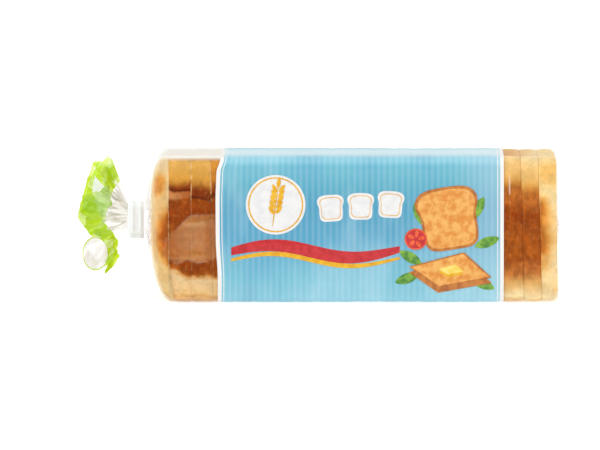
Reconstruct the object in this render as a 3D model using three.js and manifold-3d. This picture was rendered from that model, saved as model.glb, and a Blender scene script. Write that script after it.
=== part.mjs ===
// A bag of sliced toast bread: a long, square loaf of twenty slices, packed tight in a printed film
// bag. The film is folded flat over the right end. At the left end it is gathered in pleats over the
// heel, pinched in a flat neck by a white closure strip, and fans out behind the strip in a ruffle.
//
// Millimetres, +Z up. The loaf runs along X and lies on its base, with its front to -Y and the
// ruffle to -X. While it is built, x = 0 is the tip of the left heel; the finished group is moved so
// that the origin is the middle of the whole pack's footprint.
import * as THREE from "three";
import { mergeVertices } from "three/addons/utils/BufferGeometryUtils.js";
import Module from "manifold-3d";

// The loaf in its bag.
const LOAF_HEIGHT = 96;
const LOAF_DEPTH = 96;
const LEFT_SLICES = [12, 15, 13.5]; // thickness of the heel and the two slices beside it
const MIDDLE_SLICES = 15;
const MIDDLE_SLICE = 13.4;
const RIGHT_SLICES = [12.7, 11.4];
const TOP_EDGE_RADIUS = 8; // the long edges of the loaf
const BASE_EDGE_RADIUS = 13;
const GROOVE = 0.6; // how far the film dips between two slices

// The left heel bulges: each face draws in along a quarter ellipse, in mm along X and across. The
// right end is nearly square.
const HEEL_TOP = { reach: 13, drop: 29 };
const HEEL_BASE = { reach: 17, drop: 43 };
const HEEL_SIDE = { reach: 12, drop: 24 };
const RIGHT_END = { reach: 4.5, drop: 4.5 };
const END_CROWN = 1.4; // height of the folded film over the right end

// Where the sections of the film lie: from the heel's tip, from the right end, and as shares of the
// way in from the right end's edge to its middle.
const HEEL_SECTIONS = [1.5, 2.6, 4.2, 6.4, 9];
const RIGHT_SECTIONS = [4.5, 2, 0.6, 0];
const END_FOLD_SHARES = [0.8, 0.55, 0.3, 0.1];

// The gathered neck and the strip that closes it.
const NECK_Z = 52.8;
const NECK_HALF_HEIGHT = 9;
const NECK_HALF_DEPTH = 3.4;
const NECK_START = 3.6; // from the heel's tip
const NECK_FLUTE = 0.06; // share of the neck's size
const SHOULDER_PLEAT = 1.7; // how far a pleat stands out from the heel
const SHOULDER_VALLEY = 0.7; // and how far it dips between two pleats
const SHOULDER_SHARES = [0.15, 0.35, 0.55, 0.72, 0.87]; // of the way in from the heel's edge
const SHOULDER_HUG = 2.2; // above 1, the film hugs the heel before it turns out to the neck
const STRIP_WIDTH = 10;
const STRIP_THICKNESS = 0.8;
const STRIP_GAP = 0.35; // clear of the neck
const NECK_END = 0.5; // how far the neck shows at each side of the strip
const STRIP_FLAP = 3; // the two ends of the strip, pressed together under the neck
const WIRE_WIDTH = 1.3;
const WIRE_HEIGHT = 0.35;
const WIRE_INSET = 1.7; // from the strip's edge to its wire

// The ruffle.
const RUFFLE_HALF_ANGLE = THREE.MathUtils.degToRad(71);
const RUFFLE_SECTIONS = [42, 36, 30, 24, 18, 12, 6, 2]; // from the strip
const RUFFLE_THICKNESS = 2.6; // both layers of film, measured along Y
const RUFFLE_OPENS = 12; // from the strip to where the layers lie at that thickness
const RUFFLE_PLEAT = [3.6, 6.5]; // depth of its shallowest and deepest pleat at the mouth
const RUFFLE_UNEVEN = 0.1; // share by which its mouth is drawn in here and there
const RUFFLE_SHORT = 0.14; // share by which it is shorter at its upper and lower edge

// Steps round half a section: half the top, a corner, the front, a corner, half the base.
const LEVEL_STEPS = 5;
const CORNER_STEPS = 5;
const SIDE_STEPS = 12;
const HALF_ROUND = 2 * LEVEL_STEPS + 2 * CORNER_STEPS + SIDE_STEPS;
const ROUND = 2 * HALF_ROUND;

const { lerp, smoothstep } = THREE.MathUtils;
const sum = (numbers) => numbers.reduce((total, n) => total + n, 0);
const LOAF_LENGTH = sum(LEFT_SLICES) + MIDDLE_SLICES * MIDDLE_SLICE + sum(RIGHT_SLICES);
const NECK_LENGTH = STRIP_WIDTH + 2 * NECK_END;

// The same uneven number from 0 to 1 for the same n, so that the ruffle comes out alike each time.
function uneven(n) {
  const s = Math.sin(n * 127.1 + 11.7) * 43758.5453;
  return s - Math.floor(s);
}

// 0, 1, 0, -1 for each pleat of four steps.
const zigzag = (step) => Math.sin((step * Math.PI) / 2);

// Points of a section, as [y, z], from the middle of the top, down the front, along the base and
// up the back.
function sectionOutline({ halfDepth, base, top, topRadius, baseRadius }) {
  const front = [];
  for (let i = 0; i < LEVEL_STEPS; i++)
    front.push([(-(halfDepth - topRadius) * i) / LEVEL_STEPS, top]);
  for (let i = 0; i < CORNER_STEPS; i++) {
    const a = ((Math.PI / 2) * i) / CORNER_STEPS;
    const y = -(halfDepth - topRadius) - topRadius * Math.sin(a);
    front.push([y, top - topRadius + topRadius * Math.cos(a)]);
  }
  for (let i = 0; i < SIDE_STEPS; i++)
    front.push([-halfDepth, lerp(top - topRadius, base + baseRadius, i / SIDE_STEPS)]);
  for (let i = 0; i < CORNER_STEPS; i++) {
    const a = ((Math.PI / 2) * i) / CORNER_STEPS;
    const y = -(halfDepth - baseRadius) - baseRadius * Math.cos(a);
    front.push([y, base + baseRadius - baseRadius * Math.sin(a)]);
  }
  for (let i = 0; i < LEVEL_STEPS; i++)
    front.push([-(halfDepth - baseRadius) * (1 - i / LEVEL_STEPS), base]);
  const back = front.slice(1).reverse();
  return [...front, [0, base], ...back.map(([y, z]) => [-y, z])];
}

// How far a face has drawn in at a distance from the end that it rounds into.
function drawnIn(distance, { reach, drop }) {
  if (distance >= reach) return 0;
  return drop * (1 - Math.sqrt(1 - (1 - distance / reach) ** 2));
}

// One ring of the film round the loaf. The base stays flat between the slices.
function loafRing(x, groove) {
  const right = drawnIn(LOAF_LENGTH - x, RIGHT_END);
  const outline = sectionOutline({
    halfDepth: LOAF_DEPTH / 2 - drawnIn(x, HEEL_SIDE) - right - groove,
    base: drawnIn(x, HEEL_BASE) + right,
    top: LOAF_HEIGHT - drawnIn(x, HEEL_TOP) - right - groove,
    topRadius: TOP_EDGE_RADIUS,
    baseRadius: BASE_EDGE_RADIUS,
  });
  return outline.map(([y, z]) => [x, y, z]);
}

// Rings over the loaf from left to right: a dip at each cut and a crown in the middle of each slice.
function loafRings() {
  const thicknesses = [...LEFT_SLICES, ...Array(MIDDLE_SLICES).fill(MIDDLE_SLICE), ...RIGHT_SLICES];
  const rings = HEEL_SECTIONS.map((x) => loafRing(x, 0));
  let cut = 0;
  thicknesses.slice(0, -1).forEach((thickness, i) => {
    if (i > 0) rings.push(loafRing(cut + thickness / 2, 0));
    cut += thickness;
    rings.push(loafRing(cut, GROOVE));
  });
  for (const fromEnd of RIGHT_SECTIONS) rings.push(loafRing(LOAF_LENGTH - fromEnd, 0));
  return rings;
}

// The film over the right end, folded like an envelope: four flat facets that rise to a level seam.
function rightEndRings() {
  const outer = loafRing(LOAF_LENGTH, 0);
  const middle = LOAF_HEIGHT / 2;
  const reach = LOAF_HEIGHT / 2 - RIGHT_END.drop;
  return END_FOLD_SHARES.map((share) =>
    outer.map(([x, y, z]) => {
      const edge = Math.max(Math.abs(y), Math.abs(z - middle)) * share;
      return [x + END_CROWN * (1 - edge / reach), y * share, middle + (z - middle) * share];
    }),
  );
}

// One ring of the pinched neck: a flat oval with the pleats as flutes.
function neckRing(x) {
  return Array.from({ length: ROUND }, (_, step) => {
    const a = (2 * Math.PI * step) / ROUND;
    const flute = 1 + NECK_FLUTE * zigzag(step);
    return [
      x,
      -NECK_HALF_DEPTH * flute * Math.sin(a),
      NECK_Z + NECK_HALF_HEIGHT * flute * Math.cos(a),
    ];
  });
}

// The film from the heel's edge in to the neck, in pleats that stand out halfway.
function shoulderRings() {
  const outer = loafRing(HEEL_SECTIONS[0], 0);
  const inner = neckRing(-NECK_START);
  return SHOULDER_SHARES.map((share) =>
    outer.map(([x, y, z], step) => {
      const pleat = SHOULDER_PLEAT * Math.sin(Math.PI * share) * zigzag(step);
      return [
        lerp(x, inner[step][0], share ** SHOULDER_HUG) - Math.max(pleat, -SHOULDER_VALLEY),
        lerp(y, inner[step][1], share),
        lerp(z, inner[step][2], share),
      ];
    }),
  );
}

// One ring of the ruffle at a distance from the strip. Its front and back layers share each pleat.
function ruffleRing(distance) {
  const out = distance / RUFFLE_SECTIONS[0];
  return Array.from({ length: ROUND }, (_, step) => {
    const level = step <= HALF_ROUND ? step : ROUND - step; // from the top edge down
    const layer = step <= HALF_ROUND ? -1 : 1;
    const a = (Math.PI * level) / HALF_ROUND;
    const spread = RUFFLE_HALF_ANGLE * (1 - (2 * level) / HALF_ROUND);
    const thick = (RUFFLE_THICKNESS / 2) * Math.min(1, 3 * Math.sin(a)); // thin at both edges
    const half = lerp(NECK_HALF_DEPTH * Math.sin(a), thick, smoothstep(distance, 0, RUFFLE_OPENS));
    const depth = lerp(...RUFFLE_PLEAT, uneven(Math.floor((level + 1) / 2)));
    const drawn = RUFFLE_UNEVEN * uneven(level + 40) + RUFFLE_SHORT * Math.cos(a) ** 2;
    const length = distance * (1 - out * drawn);
    return [
      -NECK_START - NECK_LENGTH - length * Math.cos(spread),
      layer * half + depth * out * zigzag(level),
      NECK_Z + NECK_HALF_HEIGHT * Math.cos(a) + length * Math.sin(spread),
    ];
  });
}

// A closed surface through rings of ROUND points each, from the bag's mouth to the right end.
function skinOver(rings, lastPoint) {
  const points = rings.flat();
  const faces = [];
  const quad = (a, b, c, d) => faces.push([a, b, c], [a, c, d]);
  for (let ring = 0; ring + 1 < rings.length; ring++)
    for (let step = 0; step < ROUND; step++) {
      const here = ring * ROUND + step;
      const beside = ring * ROUND + ((step + 1) % ROUND);
      quad(here, beside, beside + ROUND, here + ROUND);
    }
  for (let level = 0; level < HALF_ROUND; level++) {
    const back = (ROUND - level) % ROUND;
    if (level > 0) faces.push([level, back, level + 1]);
    if (level + 1 < HALF_ROUND || level === 0) faces.push([level + 1, back, ROUND - level - 1]);
  }
  const last = (rings.length - 1) * ROUND;
  points.push(lastPoint);
  for (let step = 0; step < ROUND; step++)
    faces.push([last + step, last + ((step + 1) % ROUND), points.length - 1]);
  const geometry = new THREE.BufferGeometry();
  geometry.setAttribute("position", new THREE.Float32BufferAttribute(points.flat(), 3));
  geometry.setIndex(faces.flat());
  geometry.computeVertexNormals();
  return geometry;
}

function bagGeometry() {
  const ruffle = RUFFLE_SECTIONS.map(ruffleRing);
  const neck = [NECK_START + NECK_LENGTH, NECK_START].map((x) => neckRing(-x));
  const rings = [...ruffle, ...neck, ...shoulderRings().reverse(), ...loafRings(), ...rightEndRings()];
  return skinOver(rings, [LOAF_LENGTH + END_CROWN, 0, LOAF_HEIGHT / 2]);
}

const wasm = await Module();
wasm.setup();

// A closed geometry as a manifold-3d solid, for joining.
function solidOf(geometry) {
  const bare = new THREE.BufferGeometry();
  bare.setAttribute("position", geometry.getAttribute("position"));
  if (geometry.index) bare.setIndex(geometry.index);
  const merged = mergeVertices(bare, 1e-4);
  return new wasm.Manifold(
    new wasm.Mesh({
      numProp: 3,
      vertProperties: merged.attributes.position.array,
      triVerts: new Uint32Array(merged.index.array),
    }),
  );
}

function geometryOf(solid) {
  const mesh = solid.getMesh();
  const geometry = new THREE.BufferGeometry();
  geometry.setAttribute("position", new THREE.BufferAttribute(mesh.vertProperties, 3));
  geometry.setIndex(new THREE.BufferAttribute(mesh.triVerts, 1));
  geometry.computeVertexNormals();
  return geometry;
}

// The strip folded round the neck, seen along X: an oblong loop, and under it the two ends pressed
// flat on each other. grow makes it thicker outwards, as it is over its wires.
function stripSolid(from, width, grow) {
  const inside = NECK_HALF_DEPTH * (1 + NECK_FLUTE) + STRIP_GAP;
  const straight = NECK_HALF_HEIGHT * (1 + NECK_FLUTE) + STRIP_GAP - inside;
  const outside = inside + STRIP_THICKNESS + grow;
  const flap = STRIP_THICKNESS + grow;
  const flapEnd = -straight - inside - STRIP_THICKNESS - STRIP_FLAP;
  const meet = Math.acos(flap / outside);
  const outline = new THREE.Shape();
  outline.moveTo(flap, flapEnd);
  outline.lineTo(flap, -straight - Math.sin(meet) * outside);
  outline.absarc(0, -straight, outside, -meet, 0, false);
  outline.absarc(0, straight, outside, 0, Math.PI, false);
  outline.absarc(0, -straight, outside, Math.PI, Math.PI + meet, false);
  outline.lineTo(-flap, flapEnd);
  outline.closePath();
  const hole = new THREE.Path();
  hole.moveTo(inside, straight);
  hole.absarc(0, straight, inside, 0, Math.PI, false);
  hole.absarc(0, -straight, inside, Math.PI, 2 * Math.PI, false);
  hole.closePath();
  outline.holes.push(hole);
  const geometry = new THREE.ExtrudeGeometry(outline, {
    depth: width,
    bevelEnabled: false,
    curveSegments: 12,
  });
  // The shape's own x, y and depth become the pack's Y, Z and X.
  geometry.applyMatrix4(new THREE.Matrix4().makeBasis(
    new THREE.Vector3(0, 1, 0),
    new THREE.Vector3(0, 0, 1),
    new THREE.Vector3(1, 0, 0),
  ));
  geometry.translate(-NECK_START - NECK_END - STRIP_WIDTH + from, 0, NECK_Z);
  return solidOf(geometry);
}

function closureGeometry() {
  const wireAt = [WIRE_INSET, STRIP_WIDTH - WIRE_INSET - WIRE_WIDTH];
  const wires = wireAt.map((from) => stripSolid(from, WIRE_WIDTH, WIRE_HEIGHT));
  return geometryOf(wires.reduce((strip, wire) => strip.add(wire), stripSolid(0, STRIP_WIDTH, 0)));
}

const printedFilm = new THREE.MeshStandardMaterial({
  name: "printed_film",
  color: 0x82c1d6,
  roughness: 0.25,
  metalness: 0,
});
const whiteStrip = new THREE.MeshStandardMaterial({
  name: "closure_strip",
  color: 0xf2f2ee,
  roughness: 0.5,
  metalness: 0,
});

const bag = new THREE.Mesh(bagGeometry(), printedFilm);
bag.name = "bag";
const closure = new THREE.Mesh(closureGeometry(), whiteStrip);
closure.name = "closure_strip";

const pack = new THREE.Group();
pack.add(bag, closure);
const box = new THREE.Box3().setFromObject(pack);
const middle = box.getCenter(new THREE.Vector3());
pack.position.set(-middle.x, -middle.y, -box.min.z);

export default pack;
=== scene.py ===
# A bag of sliced toast bread. Twenty slices of one square loaf stand close together in a bag of clear
# film with a wide pale blue print round its middle. The film is folded flat over the right end. Over the
# left heel it is gathered in pleats to a neck, which a white strip closes, and the bag's mouth fans out
# behind the strip. Sizes are in metres.
import math
import random
import bmesh
import bpy
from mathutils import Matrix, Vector, noise


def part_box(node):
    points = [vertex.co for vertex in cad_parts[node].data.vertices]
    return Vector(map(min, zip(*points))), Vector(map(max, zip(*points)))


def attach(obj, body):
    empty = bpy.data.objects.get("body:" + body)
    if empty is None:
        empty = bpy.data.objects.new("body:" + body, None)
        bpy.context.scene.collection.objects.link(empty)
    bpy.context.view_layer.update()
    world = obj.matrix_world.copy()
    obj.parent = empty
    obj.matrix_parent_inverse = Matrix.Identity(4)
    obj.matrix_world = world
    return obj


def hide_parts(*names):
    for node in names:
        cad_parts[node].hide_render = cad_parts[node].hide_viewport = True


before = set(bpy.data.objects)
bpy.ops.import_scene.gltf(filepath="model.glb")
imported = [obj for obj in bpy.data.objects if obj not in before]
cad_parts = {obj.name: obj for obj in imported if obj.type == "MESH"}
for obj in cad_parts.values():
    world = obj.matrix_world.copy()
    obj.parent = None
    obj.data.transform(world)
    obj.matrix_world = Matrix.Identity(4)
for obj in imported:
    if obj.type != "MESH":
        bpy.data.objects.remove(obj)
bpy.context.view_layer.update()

# The view. A long lens stands nearly level with the loaf, square to the front with the print, so that
# only the front edge of the loaf's top shows.
bag_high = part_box("bag")[1]
LOAF_AND_FILM = 0.267
heel_tip = bag_high.x - LOAF_AND_FILM
LOAF_HALF_DEPTH = 0.048
LOAF_HEIGHT = 0.096

VIEW_WIDTH = 0.3915  # at the front of the loaf
VIEW_DISTANCE = 12
VIEW_DOWN = math.radians(4.0)
view_centre = Vector((heel_tip + 0.0979, -LOAF_HALF_DEPTH, 0.0513))

bpy.ops.object.select_all(action="DESELECT")
bpy.ops.object.camera_add(
    location=view_centre + VIEW_DISTANCE * Vector((0, -math.cos(VIEW_DOWN), math.sin(VIEW_DOWN))),
    rotation=(math.pi / 2 - VIEW_DOWN, 0, 0),
)
camera = bpy.context.object
camera.data.lens = camera.data.sensor_width * VIEW_DISTANCE / VIEW_WIDTH
camera.data.clip_end = 60
bpy.context.scene.camera = camera


# The slices. The loaf was baked in a tin and cut across, so each slice is a square with round corners,
# a thin baked crust all round and a pale crumb on its cut faces. Both end slices are heels, with crust
# over their outer face as well, and the left one bulges. The slices lean a little to the left.
CRUMB_HALF_DEPTH = 0.0471
CRUMB_LOW = 0.0007
CRUMB_HIGH = 0.0953
TOP_CORNER = 0.008
BASE_CORNER = 0.013
SLICE_LEAN = 0.0026  # from base to top
MIDDLE_SLICE = 0.0134  # how thick the slices are that the print hides
SEEN_SLICES = 4  # at each end
LAST_PRESSED_CUT = 3  # up to here the left slices are pressed together, and their cuts look pale
# Where the loaf rose over its tin's rim and folded, on each slice: the height at its left and its right.
LEFT_RIMS = ((0.0, 0.0), (0.0745, 0.0733), (0.0704, 0.0654), (0.0680, 0.0690))
RIGHT_RIMS = ((0.0735, 0.0735), (0.0756, 0.0753), (0.0714, 0.0718), (0.0730, 0.0730))
MIDDLE_RIM = 0.0735

cuts = [0, 0.0121, 0.0270, 0.0405]
uneven_cut = random.Random(4)
for middle_slice in range(1, 15):
    cuts.append(cuts[3] + MIDDLE_SLICE * middle_slice + uneven_cut.uniform(-0.0007, 0.0007))
cuts += [0.2431, 0.2546, 0.2656]
SLICES = len(cuts) - 1

rims = [*LEFT_RIMS]
for middle_slice in range(SLICES - 2 * SEEN_SLICES):
    middle_height = MIDDLE_RIM + uneven_cut.uniform(-0.003, 0.003)
    rims.append((middle_height, middle_height))
rims += RIGHT_RIMS
GOLDEN_RISE = {1: 0.72, 2: 0.45, 3: 0.16}  # where the crust stays golden further up than on the other slices
CREASED = {1: 1.0, 2: 0.75, 3: 0.6}  # how deep the fold is on the slices that show it
# How far over the fold the crust is dark, at a slice's left and its right.
SCORCHED = {1: (0.0040, 0.0115), 2: (0.0125, 0.0190), 3: (0.0185, 0.0185)}
# The slices that baked lighter or darker than the rest. The left heel's darker value is painted shade.
SLICE_TONES_AND_HEEL_SHADE = {0: 0.80, 1: 0.97, 2: 0.95, SLICES - 3: 1.01, SLICES - 2: 1.03, SLICES - 1: 0.98}
CRUST_VALUES = ("above_rim", "bake", "crease", "from_cut", "scorch", "tone_and_shade")


def smooth_step(value, low, high):
    """From 0 to 1 while a value goes from low to high, which may also be the smaller one."""
    share = min(1, max(0, (value - low) / (high - low)))
    return share * share * (3 - 2 * share)


def cut_x(cut, height):
    """Where a cut through the loaf lies along it, at a height over the floor."""
    if cut == 1:  # the heel's foot spreads under the next slice
        return heel_tip + cuts[1] + 0.0046 * max(0, 1 - height / 0.036) ** 2
    lean = {0: 0, 2: 0.0006, SLICES: 0.0012}.get(cut, SLICE_LEAN)
    return heel_tip + cuts[cut] + lean * (0.5 - height / LOAF_HEIGHT)


def drawn_in(distance, reach, drop):
    """How far a side has drawn in at a distance from the end that it rounds into, on a quarter ellipse."""
    if distance >= reach:
        return 0
    return drop * (1 - math.sqrt(max(0, 1 - (1 - max(0, distance) / reach) ** 2)))


# How the left heel rounds off towards its top, its base and its sides: the reach along the loaf and the
# drop across it.
HEEL_TOP = (0.0105, 0.0285)
HEEL_BASE = (0.0156, 0.0430)
HEEL_SIDE = (0.0098, 0.0235)
RIGHT_ROUND = (0.0018, 0.0018)


def heel_bulge(y, z):
    """How far the left heel's crust lies behind its tip."""
    rise = max(0, (z - CRUMB_HIGH + HEEL_TOP[1]) / HEEL_TOP[1])
    sink = max(0, (CRUMB_LOW + HEEL_BASE[1] - z) / HEEL_BASE[1])
    side = max(0, (abs(y) - CRUMB_HALF_DEPTH + HEEL_SIDE[1]) / HEEL_SIDE[1])
    total = rise**2 + sink**2 + side**2
    if total == 0:
        return 0
    reach = (rise**2 * HEEL_TOP[0] + sink**2 * HEEL_BASE[0] + side**2 * HEEL_SIDE[0]) / total
    return reach * (1 - math.sqrt(max(0, 1 - total)))


def round_the_corners(across, up):
    """From a square of -1 to 1 both ways to the slice's outline: y, z, and the way out there."""
    y, z = across * CRUMB_HALF_DEPTH, up * (CRUMB_HIGH - CRUMB_LOW) / 2
    corner = TOP_CORNER if up > 0 else BASE_CORNER
    over_y = abs(y) - (CRUMB_HALF_DEPTH - corner)
    over_z = abs(z) - ((CRUMB_HIGH - CRUMB_LOW) / 2 - corner)
    out = Vector((0, math.copysign(1, y), 0))
    if abs(up) > abs(across):
        out = Vector((0, 0, math.copysign(1, z)))
    if over_y > 0 and over_z > 0:
        shrink = max(over_y, over_z) / math.hypot(over_y, over_z)
        y = math.copysign(abs(y) - over_y * (1 - shrink), y)
        z = math.copysign(abs(z) - over_z * (1 - shrink), z)
        out = Vector((0, math.copysign(over_y, y), math.copysign(over_z, z))).normalized()
    return y, z + (CRUMB_HIGH + CRUMB_LOW) / 2, out


def rim_height(number, share):
    start, end = rims[number]
    return start + (end - start) * share + 0.0005 * math.sin(7 * share + 2 * number)


def crust_relief(number, share, y, z):
    """How far the crust stands out: fuller in the middle of a slice, folded at the tin's rim."""
    relief = 0.00035 * (math.sin(math.pi * share) - 1)
    relief += 0.00045 * noise.noise(Vector((number * 3.1 + share, y * 60, z * 60)))
    relief += 0.00015 * noise.noise(Vector((number * 7.7 + 2 * share, y * 260, z * 260)))
    crease = CREASED.get(number, 0)
    above = z - rim_height(number, share)
    relief -= 0.0010 * crease * math.exp(-((above / 0.0013) ** 2))
    relief += 0.0004 * crease * (smooth_step(above, 0, 0.004) - 1)
    return relief


def joint(cut):
    """How far the crust dips at a cut, and half the gap there."""
    return (0.0002, 0.0) if cut <= LAST_PRESSED_CUT else (0.0004, 0.00002)


def bread_point(number, share, across, up):
    """A point of a slice: its share of the way through from left to right, and its place on the face."""
    share -= 0.85 * math.sin(2 * math.pi * share) / (2 * math.pi)  # the points lie closer near the cuts
    y, z, out = round_the_corners(across, up)
    left, right = cut_x(number, z) + joint(number)[1], cut_x(number + 1, z) - joint(number + 1)[1]
    if number == 0:
        left = heel_tip + heel_bulge(y, z)
    if number == SLICES - 1:
        rim = max(abs(across), abs(up))
        right -= drawn_in((1 - rim) * CRUMB_HALF_DEPTH, *RIGHT_ROUND)
    on_rim = smooth_step(max(abs(across), abs(up)), 0.9, 1)
    edge = max(0, 1 - share / 0.03) * joint(number)[0]
    edge += max(0, 1 - (1 - share) / 0.03) * joint(number + 1)[0]
    out = out * on_rim * (crust_relief(number, share, y, z) - edge)
    return Vector((left + (right - left) * share, y, z)) + out


def bake(number, point):
    """How far the tin has browned a slice's side: the heels stay pale, and brown only towards the loaf."""
    from_tip, height = point.x - heel_tip, point.z
    face_middle = 0.34 * smooth_step(math.hypot(point.y, 1.1 * (height - 0.050)), 0.044, 0.012)
    if number == 0:
        start = 0.0002 + 0.0045 * ((height - 0.043) / 0.018) ** 2
        brown = 0.80 * smooth_step(from_tip, start, start + 0.0105) * smooth_step(abs(point.y), 0.030, 0.042)
        brown *= smooth_step(height, 0.015, 0.033) * smooth_step(height, 0.068, 0.055)
        spot = Vector(((height - 0.0768) / 0.0112, (from_tip - 0.0040) / 0.0108, (point.y + 0.044) / 0.014))
        return max(brown, 0.47 * smooth_step(spot.length, 1.0, 0.35), face_middle)
    if number == SLICES - 1:
        reach = 0.0098 + 0.0018 * smooth_step(height, 0.046, 0.056)
        brown = 0.66 * smooth_step(point.x - cut_x(number, height), reach, 0.0)
        brown *= smooth_step(height, 0.014, 0.026) * smooth_step(height, 0.0765, 0.064)
        return max(brown * (0.70 + 0.30 * smooth_step(height, 0.030, 0.038)), face_middle)
    return 1.0


def subdivide_along(axis, cuts_across):
    """Subdivides the edges that run along one axis."""
    bpy.ops.mesh.select_all(action="DESELECT")
    mesh = bmesh.from_edit_mesh(bpy.context.object.data)
    for edge in mesh.edges:
        run = edge.verts[1].co - edge.verts[0].co
        edge.select_set(abs(run[axis]) > 0.9 * run.length)
    bmesh.update_edit_mesh(bpy.context.object.data)
    bpy.ops.mesh.subdivide(number_cuts=cuts_across)


def paint(red, green, blue):
    """A colour of 0 to 255 as it looks on a screen, as the linear colour that Blender takes."""
    linear = [(c / 12.92 if c <= 0.04045 else ((c + 0.055) / 1.055) ** 2.4) for c in
              (red / 255, green / 255, blue / 255)]
    return (*linear, 1)


def place(tree, kind, sockets, **settings):
    """Adds a node. A socket gets a value, or a link where another node's output is given."""
    made = tree.nodes.new(kind)
    for name, value in settings.items():
        setattr(made, name, value)
    for name, value in sockets.items():
        if isinstance(value, bpy.types.NodeSocket):
            tree.links.new(value, made.inputs[name])
        else:
            made.inputs[name].default_value = value
    return made


def tree_of(*values):
    """The node tree that holds the sockets among some values."""
    return next(value.id_data for value in values if isinstance(value, bpy.types.NodeSocket))


def reckon(operation, first, second=0.0):
    tree = tree_of(first, second)
    return place(tree, "ShaderNodeMath", {0: first, 1: second}, operation=operation).outputs[0]


def times(product, *factors):
    for factor in factors:
        product = reckon("MULTIPLY", product, factor)
    return product


def plus(total, *parts):
    for part in parts:
        total = reckon("ADD", total, part)
    return total


def fade(value, low, high, start=0.0, end=1.0):
    """A smooth change from start to end while a value goes from low to high."""
    sockets = {"Value": value, "From Min": low, "From Max": high, "To Min": start, "To Max": end}
    return place(tree_of(value), "ShaderNodeMapRange", sockets, interpolation_type="SMOOTHSTEP").outputs[0]


def blend(factor, first, second, way="MIX"):
    return place(tree_of(factor, first, second), "ShaderNodeMix", {"Factor": factor, 6: first, 7: second},
                 data_type="RGBA", blend_type=way).outputs[2]


def coated(colour, *coats):
    """A colour with others laid over it. Each coat is how far it covers, and its colour of 0 to 255."""
    for cover, *over in coats:
        colour = blend(cover, colour, paint(*over))
    return colour


def shaded(colour, value):
    """A colour made darker or lighter by a value."""
    grey = place(tree_of(value), "ShaderNodeCombineColor", {0: value, 1: value, 2: value}).outputs[0]
    return blend(1.0, colour, grey, "MULTIPLY")


def colour_steps(value, *stops):
    """Colours that follow a value from 0 to 1. Each stop is a place and its colour of 0 to 255."""
    ramp = place(tree_of(value), "ShaderNodeValToRGB", {"Fac": value})
    elements = ramp.color_ramp.elements
    for where, *colour in stops[1:-1]:
        elements.new(where).color = paint(*colour)
    for end in (0, -1):
        elements[end].position, elements[end].color = stops[end][0], paint(*stops[end][1:])
    return ramp.outputs[0]


def stretched(where, scale):
    return place(tree_of(where), "ShaderNodeMapping", {"Vector": where, "Scale": scale}).outputs[0]


def clouds(where, scale, detail=2.0, roughness=0.5, distortion=0.0):
    """Soft noise. Its scale is one number, or one for each way."""
    if isinstance(scale, tuple):
        where, scale = stretched(where, scale), 1.0
    return place(tree_of(where), "ShaderNodeTexNoise", {
        "Vector": where, "Scale": scale, "Detail": detail, "Roughness": roughness,
        "Distortion": distortion}).outputs[0]


def bump(height, strength, distance):
    sockets = {"Strength": strength, "Distance": distance, "Height": height}
    return place(tree_of(height), "ShaderNodeBump", sockets).outputs[0]


def whereabouts(tree, space="Object"):
    """A point's place in the piece's own space or on its UV map, and its three parts."""
    where = tree.nodes.new("ShaderNodeTexCoord").outputs[space]
    return where, *place(tree, "ShaderNodeSeparateXYZ", {0: where}).outputs


def stored(tree, *names):
    """The values that a piece's points carry."""
    return [place(tree, "ShaderNodeAttribute", {}, attribute_name=name).outputs["Fac"] for name in names]


def store(piece, names, rows):
    """Gives a piece's points values to carry. Each row holds one point's."""
    for name, values in zip(names, zip(*rows)):
        piece.data.attributes.new(name, "FLOAT", "POINT").data.foreach_set("value", values)


def new_material(name):
    """An empty material, and its tree."""
    material = bpy.data.materials.new(name)
    material.use_nodes = True
    material.node_tree.nodes.clear()
    return material, material.node_tree


def finish_material(material, sockets):
    """Gives a material its surface."""
    tree = material.node_tree
    surface = place(tree, "ShaderNodeBsdfPrincipled", sockets)
    place(tree, "ShaderNodeOutputMaterial", {"Surface": surface.outputs[0]})
    return material


def new_group(name, inputs, outputs):
    """An empty shader group, its inputs, which are numbers, and a point's place in the piece."""
    group = bpy.data.node_groups.new(name, "ShaderNodeTree")
    for each, value in inputs.items():
        group.interface.new_socket(each, in_out="INPUT", socket_type="NodeSocketFloat").default_value = value
    for each, kind in outputs.items():
        group.interface.new_socket(each, in_out="OUTPUT", socket_type=f"NodeSocket{kind}")
    return group, group.nodes.new("NodeGroupInput").outputs, whereabouts(group)[0]


def bread_grain_group():
    """The grain that baking leaves: a soft mottle, and a fine pitted surface."""
    group, given, where = new_group(
        "bread grain", {"Mottle Size": 60.0, "Pit Size": 900.0, "Pit Depth": 0.3},
        {"Mottle": "Float", "Pores": "Float", "Normal": "Vector"})
    mottle = clouds(where, given["Mottle Size"], 6.0, 0.6)
    pore_size = times(given["Pit Size"], 0.4)
    pores = place(group, "ShaderNodeTexVoronoi", {"Vector": where, "Scale": pore_size})
    pores = times(fade(pores.outputs["Distance"], 0.26, 0.10), fade(mottle, 0.62, 0.70))
    height = reckon("SUBTRACT", clouds(where, given["Pit Size"], 3.0), times(pores, 0.1))
    place(group, "NodeGroupOutput", {
        "Mottle": mottle, "Pores": pores, "Normal": bump(height, given["Pit Depth"], 0.0006)})
    return group


bread_grain = bread_grain_group()


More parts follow.
